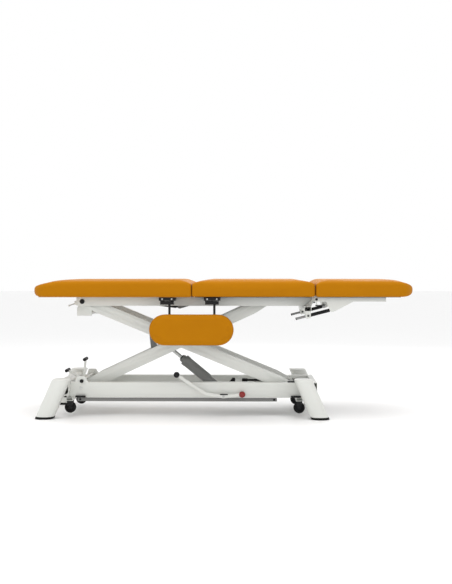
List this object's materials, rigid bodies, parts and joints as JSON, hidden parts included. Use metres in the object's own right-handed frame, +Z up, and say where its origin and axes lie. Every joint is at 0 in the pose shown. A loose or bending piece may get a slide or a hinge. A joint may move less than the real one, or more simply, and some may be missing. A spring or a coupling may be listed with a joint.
{
  "type": "examination couch",
  "caption": "Height-adjustable examination couch with a scissor lift, hinged backrest and leg section, folding armrest and retractable casters.",
  "frame": {"origin": "on the floor under the middle of the couch", "axes": "+X along the couch towards the foot end, +Y towards the rear side without an armrest, +Z up"},
  "size_m": [1.93, 0.662, 0.701],
  "materials": {
    "white_enamel": "satin",
    "white_plastic": "satin",
    "grey_enamel": "satin",
    "black_enamel": "satin",
    "black_plastic": "matte",
    "red_knob": "satin",
    "bright_steel": "satin",
    "roller_steel": "satin",
    "mustard_cover": "satin",
    "seam_thread": "matte",
    "plywood": "matte",
    "rubber_foot": "matte",
    "caster_tyre": "matte"
  },
  "bodies": {
    "base": {"base_rail_front": "white_enamel", "base_rail_rear": "white_enamel", "end_beam_left": "white_enamel", "end_beam_right": "white_enamel", "leg_front_left": "white_enamel", "leg_rear_left": "white_enamel", "leg_front_right": "white_enamel", "leg_rear_right": "white_enamel", "foot_front_left": "rubber_foot", "foot_rear_left": "rubber_foot", "foot_front_right": "rubber_foot", "foot_rear_right": "rubber_foot", "lower_pivot_shaft": "bright_steel", "cylinder_mount": "white_enamel"},
    "inner_arms": {"inner_arm_front": "white_enamel", "inner_arm_rear": "white_enamel", "lift_horn": "grey_enamel", "upper_roller_axle": "roller_steel"},
    "outer_arms": {"outer_arm_front": "white_enamel", "outer_arm_rear": "white_enamel", "outer_cross_tube": "white_enamel", "upper_pivot_shaft": "bright_steel", "lower_roller_axle": "roller_steel"},
    "cylinder": {"cylinder_body": "grey_enamel"},
    "piston": {"cylinder_rod": "bright_steel"},
    "top_frame": {"top_rail_front": "white_enamel", "top_rail_rear": "white_enamel", "top_cross_middle": "grey_enamel", "top_cross_right": "white_enamel", "armrest_bracket_left": "black_enamel", "armrest_bracket_right": "black_enamel", "seat_cushion": "mustard_cover", "back_joint_foam": "mustard_cover", "leg_joint_foam": "mustard_cover"},
    "backrest": {"backrest_board": "plywood", "backrest_cushion": "mustard_cover"},
    "gas_spring": {"gas_spring_body": "black_enamel"},
    "gas_rod": {"gas_spring_rod": "bright_steel"},
    "leg_section": {"leg_section_frame": "white_enamel", "leg_section_cushion": "mustard_cover"},
    "lock_housings": {"lock_housing_front": "white_plastic", "lock_housing_rear": "white_plastic"},
    "lock_rods": {"lock_rod_front": "black_enamel", "lock_rod_rear": "black_enamel"},
    "armrest": {"armrest_rods": "black_enamel", "armrest_pad": "mustard_cover"},
    "wheel_pedal": {"wheel_pedal": "white_enamel"},
    "wheel_frame_left": {"wheel_frame_left": "white_enamel"},
    "wheel_frame_right": {"wheel_frame_right": "white_enamel"},
    "wheel_link": {"wheel_link_bar": "grey_enamel"},
    "pump_pedal": {"pump_pedal": "white_enamel"},
    "release_lever": {"release_lever": "bright_steel"},
    "caster_front_left": {"caster_fork_front_left": "bright_steel"},
    "wheel_front_left": {"caster_wheel_front_left": "caster_tyre"},
    "caster_rear_left": {"caster_fork_rear_left": "bright_steel"},
    "wheel_rear_left": {"caster_wheel_rear_left": "caster_tyre"},
    "caster_front_right": {"caster_fork_front_right": "bright_steel"},
    "wheel_front_right": {"caster_wheel_front_right": "caster_tyre"},
    "caster_rear_right": {"caster_fork_rear_right": "bright_steel"},
    "wheel_rear_right": {"caster_wheel_rear_right": "caster_tyre"}
  },
  "joints": [
    {"name": "lift", "type": "hinge", "parent": "base", "child": "inner_arms", "pos_m": [-0.721, 0, 0.145], "axis": [0, -1, 0], "range_deg": [-11.6, 16.3]},
    {"name": "scissor_pivot", "type": "hinge", "parent": "inner_arms", "child": "outer_arms", "pos_m": [-0.21673, 0, 0.38024], "axis": [0, -1, 0], "range_deg": [-31, 22.2]},
    {"name": "top_pivot", "type": "hinge", "parent": "outer_arms", "child": "top_frame", "pos_m": [-0.721, 0, 0.588], "axis": [0, -1, 0], "range_deg": [-10.4, 14.6]},
    {"name": "cylinder_tilt", "type": "hinge", "parent": "base", "child": "cylinder", "pos_m": [-0.01003, 0, 0.11], "axis": [0, -1, 0], "range_deg": [-2.6, 1.9]},
    {"name": "rod_extend", "type": "slide", "parent": "cylinder", "child": "piston", "axis": [-0.7726, 0, 0.6349], "range_m": [-0.087, 0.121]},
    {"name": "backrest_hinge", "type": "hinge", "parent": "top_frame", "child": "backrest", "pos_m": [-0.155, 0, 0.603], "axis": [0, 1, 0], "range_deg": [0, 60], "deforming": ["back_joint_foam"]},
    {"name": "gas_tilt", "type": "hinge", "parent": "top_frame", "child": "gas_spring", "pos_m": [-0.24, 0.06, 0.553], "axis": [0, 1, 0], "range_deg": [0, 67]},
    {"name": "gas_extend", "type": "slide", "parent": "gas_spring", "child": "gas_rod", "axis": [-0.9915, 0, 0.1301], "range_m": [0, 0.088]},
    {"name": "leg_section_hinge", "type": "hinge", "parent": "top_frame", "child": "leg_section", "pos_m": [0.4635, 0, 0.603], "axis": [0, -1, 0], "range_deg": [0, 40], "deforming": ["leg_joint_foam"]},
    {"name": "lock_tilt", "type": "hinge", "parent": "top_frame", "child": "lock_housings", "pos_m": [0.4305, 0, 0.518], "axis": [0, -1, 0], "range_deg": [0, 22.5]},
    {"name": "lock_slide", "type": "slide", "parent": "lock_housings", "child": "lock_rods", "axis": [0.9677, 0, 0.2521], "range_m": [0, 0.0455]},
    {"name": "armrest_swing", "type": "hinge", "parent": "top_frame", "child": "armrest", "pos_m": [-0.16, -0.28, 0.584], "axis": [-1, 0, 0], "range_deg": [0, 90]},
    {"name": "wheel_pedal_press", "type": "hinge", "parent": "base", "child": "wheel_pedal", "pos_m": [-0.724, 0, 0.18], "axis": [0, -1, 0], "range_deg": [0, 18]},
    {"name": "wheel_lower_left", "type": "hinge", "parent": "base", "child": "wheel_frame_left", "pos_m": [-0.6, 0, 0.125], "axis": [0, -1, 0], "range_deg": [0, 6.8]},
    {"name": "wheel_lower_right", "type": "hinge", "parent": "base", "child": "wheel_frame_right", "pos_m": [0.12, 0, 0.125], "axis": [0, -1, 0], "range_deg": [-4.8, 0]},
    {"name": "wheel_link_slide", "type": "slide", "parent": "base", "child": "wheel_link", "axis": [1, 0, 0], "range_m": [0, 0.013]},
    {"name": "pump_stroke", "type": "hinge", "parent": "base", "child": "pump_pedal", "pos_m": [0.00297, -0.222, 0.104], "axis": [0, -1, 0], "range_deg": [-8, 20], "stiffness_Nm_per_rad": 20},
    {"name": "release_lever_press", "type": "hinge", "parent": "top_frame", "child": "release_lever", "pos_m": [-0.758, -0.152, 0.578], "axis": [0, -1, 0], "range_deg": [0, 12], "stiffness_Nm_per_rad": 0.6},
    {"name": "swivel_front_left", "type": "hinge", "parent": "wheel_frame_left", "child": "caster_front_left", "pos_m": [-0.787, -0.175, 0.076], "axis": [0, 0, 1], "continuous": true},
    {"name": "swivel_rear_left", "type": "hinge", "parent": "wheel_frame_left", "child": "caster_rear_left", "pos_m": [-0.787, 0.175, 0.076], "axis": [0, 0, 1], "continuous": true},
    {"name": "swivel_front_right", "type": "hinge", "parent": "wheel_frame_right", "child": "caster_front_right", "pos_m": [0.39, -0.175, 0.076], "axis": [0, 0, 1], "continuous": true},
    {"name": "swivel_rear_right", "type": "hinge", "parent": "wheel_frame_right", "child": "caster_rear_right", "pos_m": [0.39, 0.175, 0.076], "axis": [0, 0, 1], "continuous": true},
    {"name": "roll_front_left", "type": "hinge", "parent": "caster_front_left", "child": "wheel_front_left", "pos_m": [-0.787, -0.175, 0.043], "axis": [0, 1, 0], "continuous": true},
    {"name": "roll_rear_left", "type": "hinge", "parent": "caster_rear_left", "child": "wheel_rear_left", "pos_m": [-0.787, 0.175, 0.043], "axis": [0, 1, 0], "continuous": true},
    {"name": "roll_front_right", "type": "hinge", "parent": "caster_front_right", "child": "wheel_front_right", "pos_m": [0.39, -0.175, 0.043], "axis": [0, 1, 0], "continuous": true},
    {"name": "roll_rear_right", "type": "hinge", "parent": "caster_rear_right", "child": "wheel_rear_right", "pos_m": [0.39, 0.175, 0.043], "axis": [0, 1, 0], "continuous": true}
  ],
  "couplings": [
    {"joint": "scissor_pivot", "follows": "lift", "ratio": -1.876},
    {"joint": "top_pivot", "follows": "lift", "ratio": 0.876},
    {"joint": "cylinder_tilt", "follows": "lift", "ratio": -0.1437},
    {"joint": "rod_extend", "follows": "lift", "m_per_rad": 0.41965},
    {"joint": "gas_tilt", "follows": "backrest_hinge", "ratio": 1.105},
    {"joint": "gas_extend", "follows": "backrest_hinge", "m_per_rad": 0.083},
    {"joint": "lock_tilt", "follows": "leg_section_hinge", "ratio": 0.5512},
    {"joint": "lock_slide", "follows": "leg_section_hinge", "m_per_rad": 0.06406},
    {"joint": "wheel_lower_left", "follows": "wheel_pedal_press", "ratio": 0.3722},
    {"joint": "wheel_lower_right", "follows": "wheel_pedal_press", "ratio": -0.2611},
    {"joint": "wheel_link_slide", "follows": "wheel_pedal_press", "m_per_rad": 0.04}
  ]
}
